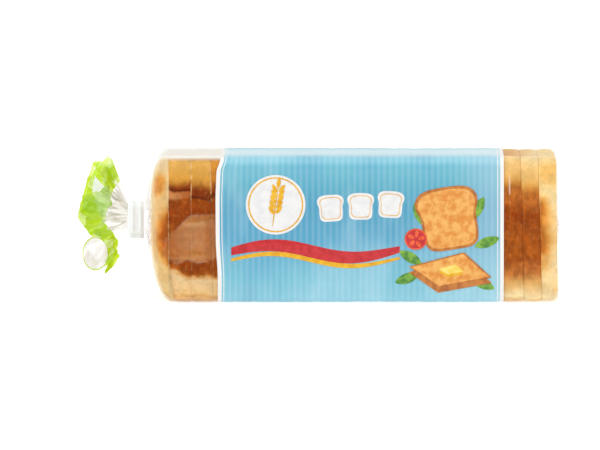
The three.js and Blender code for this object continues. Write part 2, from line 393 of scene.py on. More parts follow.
def crust_material():
    """Baked crust: brown where the tin touched it, golden over the rim, and cream at the base's edges, at
    the heels and along the cuts."""
    material, tree = new_material("toast crust")
    grain = place(tree, "ShaderNodeGroup", {"Mottle Size": 120.0, "Pit Size": 1300.0, "Pit Depth": 0.3},
                  node_tree=bread_grain).outputs
    where, x, y, z = whereabouts(tree)
    from_tip, depth = plus(x, -heel_tip), reckon("ABSOLUTE", y)
    right_half = fade(x, 0.0, 0.01)
    above_rim, browned, crease, from_cut, scorched, tone_and_shade = stored(tree, *CRUST_VALUES)
    wander = plus(clouds(where, (75, 20, 85), 6.0, 0.62), -0.5)

    # The sides below the rim, by their height.
    heel_foot = times(fade(from_tip, 0.026, 0.008, 0.0, 0.0065), fade(z, 0.034, 0.024), fade(z, 0.008, 0.016))
    level = reckon("SUBTRACT", plus(z, times(wander, 0.012)), heel_foot)
    level = reckon("DIVIDE", level, LOAF_HEIGHT)
    side = colour_steps(
        level, (0.000, 222, 166, 100), (0.035, 234, 192, 130), (0.052, 226, 172, 102), (0.070, 236, 196, 134),
        (0.150, 240, 206, 154), (0.172, 222, 164, 94), (0.192, 170, 86, 20), (0.240, 148, 62, 2),
        (0.330, 164, 82, 18), (0.500, 162, 78, 16), (0.600, 150, 62, 4), (0.700, 158, 72, 10),
        (0.800, 164, 78, 14))
    right_foot = colour_steps(
        level, (0.000, 226, 184, 124), (0.040, 240, 220, 170), (0.090, 234, 196, 136), (0.120, 226, 180, 112),
        (0.150, 220, 168, 98), (0.178, 208, 146, 78), (0.205, 188, 112, 50), (0.250, 180, 98, 36),
        (0.300, 160, 76, 18))
    side = blend(times(fade(level, 0.320, 0.280), right_half), side, right_foot)

    # The rim: golden over it and scorched next to it, with painted shade along the fold's crease and a
    # painted highlight of the film on the stretch below.
    over_rim = plus(above_rim, times(wander, 0.0060))
    side = coated(side, (times(fade(over_rim, -0.0180, -0.0010), right_half), 184, 104, 40))
    golden = colour_steps(
        reckon("DIVIDE", over_rim, 0.024), (0.00, 202, 124, 40), (0.14, 216, 146, 54), (0.30, 228, 168, 74),
        (0.66, 234, 184, 102), (0.86, 242, 206, 140), (1.00, 246, 222, 172))
    scorch = times(fade(plus(scorched, wander), 0.05, 1.05), fade(crease, 0.2, 0.6, 0.4, 1.0))
    golden = coated(
        golden, (times(right_half, fade(over_rim, 0.001, 0.012, 0.04, 0.22)), 246, 222, 172),
        (scorch, 134, 50, 2))
    soft = fade(crease, 0.2, 0.6, 0.0028, 0.0007)  # a rim without a fold has a vague edge
    baked = blend(fade(reckon("DIVIDE", over_rim, soft), -1.0, 1.0), side, golden)
    # Painted shade: the fold's crease is darkened where shade falls in it.
    painted_fold_shade = times(crease, fade(reckon("ABSOLUTE", above_rim), 0.0010, 0.0001, 0.0, 0.90))
    # Painted highlight: a pale band of the film's sheen just below the fold.
    below_rim = reckon("ABSOLUTE", plus(over_rim, 0.0034))
    painted_film_highlight = times(fade(crease, 0.75, 1.0), fade(from_tip, 0.024, 0.014, 0.25, 0.85),
                  fade(below_rim, 0.0032, 0.0012))
    baked = coated(baked, (painted_fold_shade, 90, 26, 0), (painted_film_highlight, 216, 148, 90))

    # The heels, which stay pale.
    pale = colour_steps(
        level, (0.000, 236, 204, 142), (0.100, 240, 210, 150), (0.250, 240, 204, 140), (0.420, 232, 180, 104),
        (0.560, 238, 190, 118), (0.700, 242, 200, 134), (0.850, 240, 202, 134), (0.930, 242, 214, 164),
        (1.000, 246, 228, 192))
    right_pale = colour_steps(
        level, (0.000, 243, 226, 186), (0.100, 242, 211, 151), (0.250, 243, 215, 161), (0.420, 240, 201, 135),
        (0.560, 242, 207, 143), (0.700, 244, 217, 160), (0.800, 241, 208, 141), (0.880, 240, 196, 116),
        (0.940, 241, 198, 118), (1.000, 246, 222, 170))
    tint = colour_steps(
        plus(browned, times(wander, 0.8)), (0.00, 255, 255, 255), (0.22, 250, 230, 198),
        (0.42, 240, 192, 128), (0.62, 210, 142, 74), (1.00, 190, 114, 50))
    pale = blend(1.0, blend(right_half, pale, right_pale), tint, "MULTIPLY")
    # The tone is each slice's own baked tone, and on the left heel it is painted shade as well.
    colour = shaded(blend(fade(browned, 0.96, 0.99), pale, baked), tone_and_shade)

    # The top and the base, and the mottle, the cuts and the streaks over it all.
    lid_face = times(fade(z, 0.0935, 0.0950), fade(depth, 0.038, 0.026))
    base_face = times(fade(z, 0.0035, 0.0012), fade(depth, 0.036, 0.028))
    lid = blend(fade(x, 0.128, 0.150), paint(214, 152, 58), paint(238, 206, 142))
    colour = blend(reckon("MAXIMUM", lid_face, base_face), colour, lid)
    blotch = clouds(where, (420, 320, 340), 6.0, 0.62)
    torn = fade(clouds(where, 240.0), 0.36, 0.60, 0.0, 0.0004)
    cut_edge = fade(reckon("SUBTRACT", from_cut, torn), 0.0002, -0.0001)
    cut_edge = times(cut_edge, fade(z, 0.062, 0.074, fade(from_tip, 0.018, 0.020, 0.46, 0.12), 0.60))
    heel_rim = times(fade(from_cut, 0.0020, 0.0008, 0.0, 0.60), fade(browned, 0.96, 0.93),
                     fade(z, 0.058, 0.070))
    colour = coated(
        colour, (fade(blotch, 0.50, 0.68, 0.0, 0.14), 232, 172, 104),
        (fade(blotch, 0.48, 0.32, 0.0, 0.16), 140, 62, 12), (times(grain["Pores"], 0.20), 140, 70, 22),
        (cut_edge, 248, 214, 158), (heel_rim, 252, 222, 164))
    brightness = place(tree, "ShaderNodeSeparateColor", {0: colour}).outputs[1]
    streaks = times(fade(clouds(where, (330, 220, 200), 3.0), 0.32, 0.68, -0.18, 0.18),
                    fade(brightness, 0.40, 0.14, 0.12, 1.0))
    colour = shaded(colour, times(plus(streaks, 1.0), fade(grain["Mottle"], 0.28, 0.72, 0.86, 1.08)))
    return finish_material(material, {
        "Base Color": colour, "Roughness": 0.62, "Specular IOR Level": 0.06, "Normal": grain["Normal"]})


def crumb_material():
    """The cut crumb: cream, soft, and full of small holes."""
    material, tree = new_material("toast crumb")
    grain = place(tree, "ShaderNodeGroup", {"Mottle Size": 380.0, "Pit Size": 700.0, "Pit Depth": 0.9},
                  node_tree=bread_grain).outputs
    colour = colour_steps(
        grain["Mottle"], (0.30, 226, 190, 136), (0.55, 244, 222, 180), (0.75, 250, 234, 200))
    return finish_material(material, {
        "Base Color": colour, "Roughness": 0.85, "Specular IOR Level": 0.1, "Normal": grain["Normal"]})


toast_crust = crust_material()
toast_crumb = crumb_material()
THICKNESS_CUTS = 8
SEEN_FACE_CUTS = 47
HIDDEN_FACE_CUTS = 15


def new_piece(name, add_primitive, **settings):
    bpy.ops.object.select_all(action="DESELECT")
    add_primitive(**settings)
    bpy.context.object.name = name
    return bpy.context.object


def add_slice(number):
    """One slice: a block subdivided both ways, with its points laid on the slice's own shape."""
    bread = new_piece(f"slice_{number + 1:02d}", bpy.ops.mesh.primitive_cube_add, size=2)
    bread.data.materials.append(toast_crust)
    bread.data.materials.append(toast_crumb)
    bpy.ops.object.mode_set(mode="EDIT")
    bpy.ops.mesh.select_mode(type="EDGE")
    hidden = SEEN_SLICES <= number < SLICES - SEEN_SLICES
    face_cuts = HIDDEN_FACE_CUTS if hidden else SEEN_FACE_CUTS
    for axis, cuts_across in enumerate((THICKNESS_CUTS, face_cuts, face_cuts)):
        subdivide_along(axis, cuts_across)
    bpy.ops.object.mode_set(mode="OBJECT")
    for face in bread.data.polygons:
        cut_left = face.center.x < -0.99 and number > 0
        cut_right = face.center.x > 0.99 and number < SLICES - 1
        face.material_index = 1 if cut_left or cut_right else 0
    tone_and_shade = SLICE_TONES_AND_HEEL_SHADE.get(number, uneven_cut.uniform(0.94, 1.06))
    golden_rise, crease = GOLDEN_RISE.get(number, 1.0), CREASED.get(number, 0.12)
    scorched_left, scorched_right = SCORCHED.get(number, (0.0060, 0.0060))
    values = []
    for vertex in bread.data.vertices:
        share = (vertex.co.x + 1) / 2
        across, up = max(-1, min(1, vertex.co.y)), max(-1, min(1, vertex.co.z))
        vertex.co = bread_point(number, share, across, up)
        from_left = vertex.co.x - cut_x(number, vertex.co.z) if number > 0 else 1
        from_right = cut_x(number + 1, vertex.co.z) - vertex.co.x if number < SLICES - 1 else 1
        from_cut, cut = min((from_left, number), (from_right, number + 1))
        over_rim = vertex.co.z - rim_height(number, share)
        reach = scorched_left + (scorched_right - scorched_left) * share
        values.append((
            over_rim * (golden_rise if over_rim > 0 else 1), bake(number, vertex.co), crease,
            from_cut + (0 if cut <= LAST_PRESSED_CUT else 0.001),
            1 - smooth_step(over_rim, 0.1 * reach, reach), tone_and_shade))
    store(bread, CRUST_VALUES, values)
    bpy.ops.object.shade_smooth_by_angle(angle=math.radians(50))
    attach(bread, "root")
    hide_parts("bag")


for number in range(SLICES):
    add_slice(number)


# The film. One tube of thin clear film runs from the bag's mouth to the fold over the right end. It is
# drawn tight over the slices, dips a little between them, and is gathered over the left heel. It is
# modelled as one skin and then parted where the print begins and ends.
FILM_HALF_DEPTH = 0.0477
FILM_TOP = 0.0959
FILM_GAP = 0.0006  # from the bread
NECK_HEIGHT = 0.0528
NECK_HALF_HEIGHT = 0.0089
NECK_HALF_DEPTH = 0.0033
NECK_START = 0.0036  # from the heel's tip, towards the mouth
NECK_LENGTH = 0.011
PLEATS = 28
ROUND = 8 * PLEATS
PRINT_START = 0.0434  # from the heel's tip
PRINT_END = 0.2309
MOUTH_LENGTH = 0.042
MOUTH_SPREAD = math.radians(71)
END_CROWN = 0.0012
HEEL_EDGE = 0.0004  # where the gathers over the heel end, from its tip
ROUNDED_TO = 0.0184  # between these two the film is straight, from the heel's tip
ROUNDED_FROM = 0.2610
MERGE_WITHIN = 0.000004

pleat_random = random.Random(11)
pleat_heights = [pleat_random.uniform(0.35, 1.0) * (1 if line % 2 else -1) for line in range(2 * PLEATS)]
pleat_lines = [(line + pleat_random.uniform(-0.25, 0.25)) / (2 * PLEATS) for line in range(2 * PLEATS)]


def pleat(around):
    """The gathers of the film, from -1 to 1: straight between uneven ridges and valleys."""
    lines = pleat_lines + [pleat_lines[0] + 1]
    around = (around - pleat_lines[0]) % 1 + pleat_lines[0]
    line = max(i for i in range(2 * PLEATS) if lines[i] <= around)
    share = (around - lines[line]) / (lines[line + 1] - lines[line])
    start, end = pleat_heights[line], pleat_heights[(line + 1) % (2 * PLEATS)]
    return start + (end - start) * share


# The runs of half an outline, from the middle of the base up to the middle of the top.
OUTLINE_RUNS = (0.0347, 0.0204, 0.0750, 0.0126, 0.0397)


def outline_point(around, half_depth, low, high, top_radius=TOP_CORNER, base_radius=BASE_CORNER):
    """A point of the film's outline round the loaf, and the way out. Around goes from 0 in the middle of
    the base, up the front, over the top at 0.5, and down the back to 1."""
    side = -1 if around <= 0.5 else 1
    along = sum(OUTLINE_RUNS) * 2 * min(around, 1 - around)
    run = 0
    while run < 4 and along > OUTLINE_RUNS[run]:
        along -= OUTLINE_RUNS[run]
        run += 1
    share = min(1, along / OUTLINE_RUNS[run])
    quarter = share * math.pi / 2
    if run == 0:
        y, z, out = share * (half_depth - base_radius), low, (0, -1)
    elif run == 1:
        out = (math.sin(quarter), -math.cos(quarter))
        y, z = half_depth - base_radius + base_radius * out[0], low + base_radius + base_radius * out[1]
    elif run == 2:
        y, z, out = half_depth, low + base_radius + share * (high - low - base_radius - top_radius), (1, 0)
    elif run == 3:
        out = (math.cos(quarter), math.sin(quarter))
        y, z = half_depth - top_radius + top_radius * out[0], high - top_radius + top_radius * out[1]
    else:
        y, z, out = (1 - share) * (half_depth - top_radius), high, (0, 1)
    return Vector((0, side * y, z)), Vector((0, side * out[0], out[1]))


def loaf_outline(along, around):
    """The tight film at a distance from the heel's tip."""
    heel, right = along + FILM_GAP, LOAF_AND_FILM - END_CROWN - along
    half_depth = FILM_HALF_DEPTH - drawn_in(heel, *HEEL_SIDE) - drawn_in(right, *RIGHT_ROUND)
    low = 0.0001 + drawn_in(heel, *HEEL_BASE) + drawn_in(right, *RIGHT_ROUND)
    high = FILM_TOP - drawn_in(heel, *HEEL_TOP) - drawn_in(right, *RIGHT_ROUND)
    return outline_point(around, half_depth, low, high)


def film_ripple(along, around, point):
    """How far the film stands off its tight shape."""
    dip = sum(math.exp(-(((point.x - cut_x(cut, point.z)) / 0.0018) ** 2)) for cut in range(1, SLICES))
    printed = PRINT_START < along < PRINT_END
    ripple = -(0.00022 if printed else 0.00034) * dip
    ripple += 0.00026 * noise.noise(Vector((along * 16, point.y * 85, point.z * 85)))
    ripple += 0.00016 * noise.noise(Vector((along * 70, point.y * 120 + 5, point.z * 120)))
    ripple += 0.00045 * pleat(around) * math.exp(-max(0, along) / 0.009)
    ripple += 0.00030 * pleat(around) * math.exp(-(LOAF_AND_FILM - along) / 0.010)
    return ripple


def print_wave(along, point):
    """How far the film has slid along the loaf, which makes the print's left edge uneven."""
    slid = 0.0022 * smooth_step(point.z, 0.0855, 0.0950) - 0.0008 * math.sin((point.z - 0.030) / 0.016)
    slid += 0.0005 * noise.noise(Vector((point.y * 40, point.z * 40, 1.7)))
    return slid * math.exp(-(((along - PRINT_START) / 0.012) ** 2))


def neck_point(along, around):
    level = math.pi * (1 - 2 * min(around, 1 - around))
    side = -1 if around <= 0.5 else 1
    flute = 1 + 0.05 * pleat(around)
    return Vector((
        heel_tip + along,
        side * NECK_HALF_DEPTH * flute * math.sin(level),
        NECK_HEIGHT + NECK_HALF_HEIGHT * flute * math.cos(level),
    ))


def shoulder_point(share, around):
    """The gathered film over the heel: share goes from 0 at the heel's edge to 1 at the neck."""
    point = loaf_outline(HEEL_EDGE, around)[0].lerp(neck_point(-NECK_START, around), share)
    swell = math.sin(math.pi * share)
    stand = max(0.0016 * swell**0.8 * pleat(around), -0.0006) + 0.0004 * swell
    point.x = heel_tip + HEEL_EDGE - (NECK_START + HEEL_EDGE) * share**2.2 - stand
    return point


CLEAR, MOUTH, PRINT = range(3)  # the parts of the skin
mouth_random = random.Random(23)


def crumple(lines, rings, unevenness):
    """A lattice of random heights from -1 to 1, for film that is creased between its points."""
    return [[(1 if line % 2 else -1) * (1 - unevenness) + mouth_random.uniform(-1, 1) * unevenness
             for line in range(lines + 1)] for ring in range(rings + 1)]


BIG_FOLDS = {side: crumple(13, 4, 0.7) for side in (-1, 1)}
SMALL_FOLDS = {side: crumple(37, 9, 0.9) for side in (-1, 1)}
EDGE_FOLDS = crumple(22, 3, 1.0)
OVERLAPS = crumple(11, 5, 1.0)


def fold_height(folds, level, out):
    """The lattice's height at a point: flat on each half of a cell, with a crease between the halves."""
    line, ring = level * (len(folds[0]) - 1), out * (len(folds) - 1)
    i, j = min(int(line), len(folds[0]) - 2), min(int(ring), len(folds) - 2)
    a, b = line - i, ring - j
    near, far = (folds[j][i], folds[j][i + 1]), (folds[j + 1][i], folds[j + 1][i + 1])
    if (i + j) % 2:
        a, near, far = 1 - a, near[::-1], far[::-1]
    if a > b:
        return near[0] + a * (near[1] - near[0]) + b * (far[1] - near[1])
    return near[0] + b * (far[0] - near[0]) + a * (far[1] - far[0])


def mouth_point(out, around):
    """The mouth behind the strip: out goes from 0 at the strip to 1 at the film's cut edge."""
    level = 1 - 2 * min(around, 1 - around)
    side = -1 if around <= 0.5 else 1
    spread = MOUTH_SPREAD * (1 - 2 * level)
    length = MOUTH_LENGTH * out * (1 - 0.14 * math.cos(math.pi * level) ** 2 * out)
    length *= 1 + 0.045 * out * fold_height(EDGE_FOLDS, level, out)
    start = neck_point(-NECK_START - NECK_LENGTH, around)
    layers = math.sin(math.pi * level) ** 0.5  # they are one at the mouth's two ends
    gathered = max(0, 1 - out / 0.22)
    y = start.y * gathered + side * layers * (0.0003 + 0.0016 * out) * (1 - gathered)
    y += 0.0066 * out**0.5 * fold_height(BIG_FOLDS[-1], level, out) * (1 - gathered)
    y += 0.0020 * side * out * layers * (1 + fold_height(BIG_FOLDS[side], level, out))
    y += 0.0013 * out**0.5 * fold_height(SMALL_FOLDS[side], level, out) * min(1, 2 * layers)
    return Vector((start.x - length * math.cos(spread), y, start.z + length * math.sin(spread)))


def end_point(share, around):
    """The film over the right end: share goes from 1 at its edge to 0 in the middle."""
    edge = LOAF_AND_FILM - END_CROWN
    outer = loaf_outline(edge, around)[0]
    middle = Vector((0, 0, LOAF_HEIGHT / 2))
    rim = max(abs(outer.y), abs(outer.z - middle.z)) / (LOAF_HEIGHT / 2) * share
    point = middle.lerp(outer, share)
    lean = cut_x(SLICES, point.z) - cut_x(SLICES, LOAF_HEIGHT / 2)
    ripple = 0.00025 * noise.noise(Vector((point.y * 60, point.z * 60, 4.0)))
    point.x = heel_tip + edge + END_CROWN * (1 - rim) + lean + ripple * share
    return point


def film_stations():
    """Where the film's rings lie, from the mouth to the middle of the right end."""
    stations = [("mouth", 1 - step / 45) for step in range(45)]
    stations += [("neck", -NECK_START - NECK_LENGTH + NECK_LENGTH * step / 6) for step in range(7)]
    stations += [("shoulder", 1 - step / 18) for step in range(1, 18)]
    stations += [("loaf", HEEL_EDGE + (ROUNDED_TO - HEEL_EDGE) * (step / 16) ** 1.6) for step in range(17)]
    straight = ((ROUNDED_TO, PRINT_START, 20), (PRINT_START, PRINT_END, 140), (PRINT_END, ROUNDED_FROM, 24))
    for start, end, steps in straight:
        stations += [("loaf", start + (end - start) * step / steps) for step in range(1, steps + 1)]
    edge = LOAF_AND_FILM - END_CROWN
    stations += [("loaf", edge - (edge - ROUNDED_FROM) * (1 - step / 6) ** 1.8) for step in range(1, 7)]
    stations += [("end", share) for share in (0.97, 0.92, 0.84, 0.74, 0.62, 0.5, 0.38, 0.26, 0.14, 0.04, 0)]
    return stations


def loaf_point(along, around):
    """The film over the loaf's sides, with its ripples."""
    point, out = loaf_outline(along, around)
    lean = cut_x(SLICES, point.z) - cut_x(SLICES, LOAF_HEIGHT / 2)
    point.x = heel_tip + along + lean * smooth_step(along, 0.235, 0.262)
    point += out * film_ripple(along, around, point)
    point.x += print_wave(along, point)
    return point


FILM_POINTS = {"mouth": mouth_point, "neck": neck_point, "shoulder": shoulder_point, "loaf": loaf_point,
               "end": end_point}


def add_film():
    """The whole skin: a grid whose one way is the rings and whose other way goes round each ring. Its UV
    map holds the distance along the loaf and the share of the way round. On the mouth it holds the
    share of the way out and the level from the top edge down."""
    stations = film_stations()
    film = new_piece("film_skin", bpy.ops.mesh.primitive_grid_add,
                     x_subdivisions=len(stations) - 1, y_subdivisions=ROUND, size=1)
    for part in (CLEAR, MOUTH, PRINT):
        film.data.materials.append(None)
    on_grid = [((v.co.x + 0.5) * (len(stations) - 1), v.co.y + 0.5) for v in film.data.vertices]
    unwrapped = film.data.uv_layers[0]
    unwrapped.name = "film"
    for corner in film.data.loops:
        step, around = on_grid[corner.vertex_index]
        kind, value = stations[round(step)]
        if kind == "mouth":
            unwrapped.data[corner.index].uv = (value, 1 - 2 * min(around, 1 - around))
        else:
            unwrapped.data[corner.index].uv = (value if kind in ("loaf", "neck") else 0, around)
    for face in film.data.polygons:
        ends = [stations[round(on_grid[i][0])] for i in face.vertices]
        if any(kind == "mouth" for kind, value in ends):
            face.material_index = MOUTH
        elif all(kind == "loaf" and PRINT_START - 1e-6 < value < PRINT_END + 1e-6 for kind, value in ends):
            face.material_index = PRINT
    for vertex, (step, around) in zip(film.data.vertices, on_grid):
        kind, value = stations[round(step)]
        vertex.co = FILM_POINTS[kind](value, around)
    bpy.ops.object.mode_set(mode="EDIT")
    bpy.ops.mesh.select_all(action="SELECT")
    bpy.ops.mesh.remove_doubles(threshold=MERGE_WITHIN)
    bpy.ops.mesh.normals_make_consistent(inside=False)
    bpy.ops.object.mode_set(mode="OBJECT")
    bpy.ops.object.shade_smooth_by_angle(angle=math.radians(40))
    return film


film_skin = add_film()


def film_surface_group():
    """What shows that a surface is thin film: long soft ripples, fine crinkles, and patches of haze."""
    group, given, where = new_group("film surface", {"Crinkle": 0.2}, {"Haze": "Float", "Normal": "Vector"})
    ripples = clouds(where, (25, 60, 110), 3.0)
    height = plus(ripples, times(clouds(where, 260.0, distortion=0.8), 0.25))
    place(group, "NodeGroupOutput", {
        "Haze": fade(ripples, 0.45, 0.70), "Normal": bump(height, given["Crinkle"], 0.0012)})
    return group


film_surface = film_surface_group()


def film_look(tree, crinkle):
    """The film's normal, how much of its face shows as gloss, which is nothing face on and nearly all at
    a glance, and its haze."""
    surface = place(tree, "ShaderNodeGroup", {"Crinkle": crinkle}, node_tree=film_surface).outputs
    facing = place(tree, "ShaderNodeLayerWeight", {"Blend": 0.5, "Normal": surface["Normal"]})
    return surface["Normal"], reckon("POWER", facing.outputs["Facing"], 4.0), surface["Haze"]


def inside_by(corners, x, z):
    """How far inside an outline a point lies, in millimetres. It is less than nothing outside."""
    nearest, within = 1e9, False
    for (x1, z1), (x2, z2) in zip(corners, corners[1:] + corners[:1]):
        run_x, run_z = x2 - x1, z2 - z1
        share = max(0, min(1, ((x - x1) * run_x + (z - z1) * run_z) / (run_x**2 + run_z**2)))
        nearest = min(nearest, math.hypot(x - x1 - share * run_x, z - z1 - share * run_z))
        if (z1 > z) != (z2 > z) and x < x1 + (z - z1) / (z2 - z1) * run_x:
            within = not within
    return nearest if within else -nearest


# Where a warm reflection is painted on the clear film, and a thin bright highlight line painted on it:
# from the heel's tip, and over the floor, in millimetres.
REFLECTION_PATCH = ((9.0, 31.0), (9.0, 41.0), (12.6, 44.0), (26.0, 57.6), (46.0, 58.6), (46.0, 31.0), (38.0, 27.5),
              (31.0, 26.0), (24.0, 28.5), (17.0, 25.0))
HIGHLIGHT_LINE = ((234.4, 70.6), (234.2, 83.6), (235.0, 83.4), (235.3, 70.9))
FILM_VALUES = ("reflection_by", "highlight_line_by", "gathered")


def mark_painted_light_and_gathers(film):
    """Stores how far each point lies inside the painted reflection and inside the painted highlight line,
    and how much the film is gathered there."""
    values = []
    for vertex in film.data.vertices:
        x, z = 1000 * (vertex.co.x - heel_tip), 1000 * vertex.co.z
        crease = inside_by(HIGHLIGHT_LINE, x, z) if vertex.co.y < -0.032 else -9
        from_neck = math.hypot(1000 * vertex.co.y, 0.8 * (z - 1000 * NECK_HEIGHT))
        gathers = 0.5 + 0.5 * pleat(math.atan2(-vertex.co.y, NECK_HEIGHT - vertex.co.z) / (2 * math.pi) % 1)
        gathered = smooth_step(x, 1.5, -0.5) * smooth_step(from_neck, 44, 4) * gathers
        values.append((inside_by(REFLECTION_PATCH, x, z), crease, gathered))
    store(film, FILM_VALUES, values)


def clear_film_material():
    """Clear film: it hardly shows face on, shines where it turns away, and carries a painted reflection and
    painted highlights.
    """
    material, tree = new_material("clear film")
    normal, gloss, haze = film_look(tree, 0.22)
    reflection_by, highlight_line_by, gathered = stored(tree, *FILM_VALUES)
    x, y, z = whereabouts(tree)[1:]
    from_tip = plus(x, -heel_tip)
    left_half = fade(x, 0.02, -0.02)
    gloss = times(gloss, plus(times(left_half, 0.95), 0.20), fade(gathered, 0.0, 0.5, 1.0, 0.55))
    # Painted reflection: a warm patch of sheen on the film over the left slices.
    patch = times(fade(reflection_by, -0.8, 0.9), fade(haze, 0.0, 1.0, 0.12, 0.19),
                  fade(from_tip, 0.012, 0.026, 1.0, 2.2), fade(from_tip, 0.0345, 0.0375, 1.0, 0.64))
    # Painted highlight: a thin bright line on the film near the right end.
    crease = times(fade(highlight_line_by, -0.25, 0.15), 0.36)
    veil = plus(times(haze, 0.006), patch, crease, times(gathered, 0.18))
    # Painted highlight: a whitish band of sheen along the film's top front edge, strongest on the left half.
    painted_highlight_over_edge = times(fade(z, 0.0925, 0.0957), fade(y, -0.031, -0.044), fade(from_tip, 0.004, 0.014),
                      plus(times(left_half, 0.70), 0.04))
    cover = times(plus(gloss, veil, painted_highlight_over_edge), fade(from_tip, -0.0024, -0.0008, 0.5, 1.0))
    cover = place(tree, "ShaderNodeClamp", {"Value": cover, "Min": 0.003, "Max": 0.92}).outputs[0]
    # The painted reflection is warm in colour.
    colour = coated(paint(252, 252, 240), (fade(reflection_by, -0.6, 0.6), 255, 181, 92),
                    (fade(gathered, 0.0, 0.4), 232, 246, 255))
    return finish_material(material, {
        "Base Color": colour, "Roughness": 0.12, "IOR": 2.2, "Alpha": cover, "Normal": normal})


def select_only(*pieces):
    bpy.ops.object.select_all(action="DESELECT")
    for piece in pieces:
        piece.select_set(True)
    bpy.context.view_layer.objects.active = pieces[0]


def part_film(name, part, material):
    """Parts one part of the skin off as a piece of its own."""
    select_only(film_skin)
    bpy.ops.object.mode_set(mode="EDIT")
    bpy.ops.mesh.select_mode(type="FACE")
    bpy.ops.mesh.select_all(action="DESELECT")
    bpy.ops.object.mode_set(mode="OBJECT")
    for face in film_skin.data.polygons:
        face.select = face.material_index == part
    bpy.ops.object.mode_set(mode="EDIT")
    bpy.ops.mesh.separate(type="SELECTED")
    bpy.ops.object.mode_set(mode="OBJECT")
    piece = next(o for o in bpy.context.selected_objects if o is not film_skin)
    piece.name = name
    piece.data.materials.clear()
    piece.data.materials.append(material)
    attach(piece, "root")
    return piece


# The clear film at both ends shows the bread. The whole skin is kept beside it until the print's
# pictures are laid on it.
film_form = film_skin.copy()
film_form.data = film_skin.data.copy()
bpy.context.collection.objects.link(film_form)
clear_film = part_film("clear_film", CLEAR, clear_film_material())
mark_painted_light_and_gathers(clear_film)
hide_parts("bag")


# The printed band. The same film carries a pale blue print round the middle of the loaf, with fine
# upright stripes and a white edge at each end. It hides the bread.
STRIPE = 0.0039
WHITE_TO, WHITE_FROM = 0.0460, 0.2286  # where the left edge's white ends and the right edge's begins
WHITE_LINES = (0.0474, 0.2269)
HALF_LINE = 0.00022
WHITE_INK = paint(240, 236, 232)


def inked_film(material, colour):
    """Ink on film, which hides what is behind it."""
    normal = film_look(material.node_tree, 0.16)[0]
    return finish_material(material, {
        "Base Color": colour, "Roughness": 0.34, "IOR": 1.45, "Coat Weight": 0.15,
        "Coat Roughness": 0.12, "Normal": normal})


def printed_film_material():
    material, tree = new_material("printed film")
    where, unused, y, z = whereabouts(tree)
    along = whereabouts(tree, "UV")[1]
    # The blue darkens towards the middle of the height and pales towards the top and the base: partly the
    # print's own gradient, partly painted shade and painted highlight.
    blue = colour_steps(
        reckon("DIVIDE", z, LOAF_HEIGHT), (0.00, 140, 200, 216), (0.16, 116, 188, 208), (0.42, 84, 162, 194),
        (0.66, 74, 156, 188), (0.82, 90, 172, 194), (0.95, 112, 186, 206), (1.00, 146, 206, 222))
    cloudy = clouds(where, (34, 10, 14), 3.0)
    wave = reckon("SINE", times(along, 2 * math.pi / STRIPE))
    # Painted highlight: the print turns pale over the top, where the film's sheen lies.
    painted_sheen_on_top = times(fade(z, 0.0945, 0.0957), fade(reckon("ABSOLUTE", y), 0.044, 0.010, 0.0, 0.70))
    blue = coated(
        blue, (fade(cloudy, 0.48, 0.70, 0.0, 0.26), 196, 230, 240),
        (fade(cloudy, 0.46, 0.30, 0.0, 0.22), 60, 142, 190),
        (fade(wave, -0.6, 0.8, 0.0, 0.09), 226, 242, 248),
        (fade(along, 0.192, 0.228, 0.0, 0.26), 214, 236, 244), (painted_sheen_on_top, 212, 236, 240))
    white = reckon("MAXIMUM", reckon("LESS_THAN", along, WHITE_TO), reckon("GREATER_THAN", along, WHITE_FROM))
    for line in WHITE_LINES:
        off_line = reckon("ABSOLUTE", reckon("SUBTRACT", along, line))
        white = reckon("MAXIMUM", white, reckon("LESS_THAN", off_line, HALF_LINE))
    return inked_film(material, blend(white, blue, WHITE_INK))


printed_band = part_film("printed_band", PRINT, printed_film_material())
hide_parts("bag")


# The mouth of the bag. Two layers of the film fan out behind the strip in sharp folds. They carry a
# translucent lime green print with a ragged edge, a clear gap in it and a plain white patch, and are
# clear beyond it.
GREEN_FIELD = (  # from the strip's edge out, and over the floor, in millimetres
    (-21.1, 90.4), (-19.2, 88.1), (-15.6, 87.5), (-13.3, 90.1), (-11.3, 92.4), (-9.4, 88.8), (-6.7, 84.2),
    (-4.8, 80.3), (-5.8, 76.4), (-8.0, 73.8), (-10.0, 71.1), (-11.3, 66.6), (-10.7, 61.3), (-13.9, 57.4),
    (-14.6, 52.2), (-15.6, 48.3), (-12.0, 45.6), (-8.7, 41.1), (-6.7, 36.5), (-7.7, 32.6), (-5.8, 28.0),
    (-8.0, 22.8), (-12.0, 18.8), (-15.6, 15.2), (-13.9, 21.4), (-12.9, 28.0), (-13.9, 33.9), (-16.5, 37.8),
    (-20.5, 39.8), (-24.4, 40.4), (-26.4, 44.3), (-29.0, 47.0), (-31.6, 50.6), (-30.9, 56.8), (-29.0, 62.7),
    (-27.2, 69.2), (-25.0, 76.4), (-22.9, 81.9))
CLEAR_GAP = ((-22.1, 81.0), (-15.2, 72.8), (-19.2, 70.5), (-23.7, 69.2))
THIN_GREEN = ((-20.5, 71.0), (-13.0, 74.0), (-9.0, 64.0), (-11.0, 50.0), (-17.0, 49.0), (-18.5, 57.0),
              (-21.5, 64.0))
WHITE_PATCH = (-21.4, 29.3, 7.9, 10.2)  # its middle, and half its width and height
MOUTH_VALUES = ("green_by", "thin_by", "gap_by", "patch_by", "overlap")


